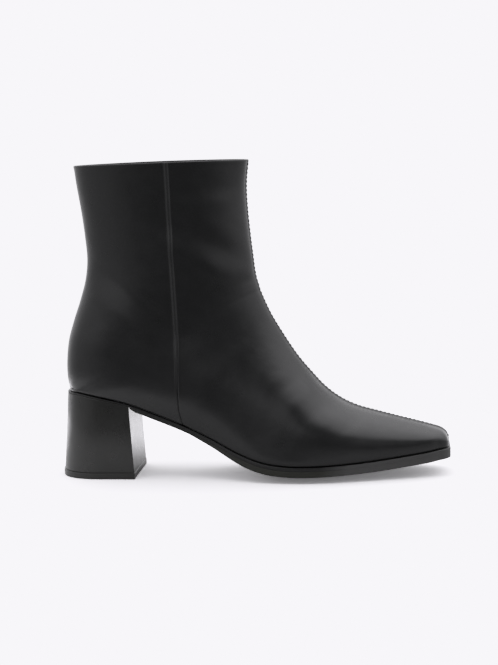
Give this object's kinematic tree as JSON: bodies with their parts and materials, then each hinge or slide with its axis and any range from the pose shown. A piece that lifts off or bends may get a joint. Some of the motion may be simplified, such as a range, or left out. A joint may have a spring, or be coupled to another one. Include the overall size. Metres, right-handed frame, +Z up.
{
  "type": "ankle boot",
  "caption": "Black leather ankle boot for the right foot, with a narrow square toe, a block heel, a thin arched sole and an open collar for the foot.",
  "frame": {"origin": "on the heel tread at floor level, in the boot's middle plane under the heel seat", "axes": "+X towards the toe, +Y towards the medial side, +Z up"},
  "size_m": [0.2563, 0.0872, 0.2054],
  "materials": {
    "upper_leather": "smooth polished black leather",
    "insole_leather": "matt lining leather",
    "midsole_board": "waxed black leatherboard edge",
    "outsole_rubber": "buffed dark grey edge",
    "heel_block": "satin lacquered block",
    "lift_rubber": "matt"
  },
  "bodies": {
    "root": {"upper": "upper_leather", "insole": "insole_leather", "midsole": "midsole_board", "outsole": "outsole_rubber", "heel": "heel_block", "top_lift": "lift_rubber"}
  },
  "joints": []
}
